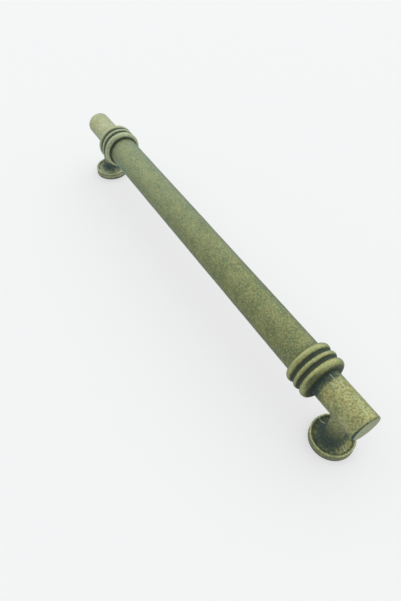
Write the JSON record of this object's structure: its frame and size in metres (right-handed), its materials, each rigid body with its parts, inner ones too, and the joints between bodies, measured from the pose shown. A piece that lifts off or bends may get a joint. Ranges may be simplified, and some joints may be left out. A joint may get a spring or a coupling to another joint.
{
  "type": "cabinet pull handle",
  "caption": "Straight round-bar cabinet pull with beaded collars and round dished feet, tapped for screws put through a door or drawer front.",
  "frame": {"origin": "on the door face, midway between the two screw holes, under the middle of the bar", "axes": "+X along the bar, +Y across the bar, +Z away from the door"},
  "size_m": [0.2106, 0.0188, 0.035],
  "materials": {
    "antique_brass": "cast, darkened green-brown in the hollows and rubbed paler on the high places"
  },
  "bodies": {
    "root": {"pull_casting": "antique_brass"}
  },
  "joints": []
}
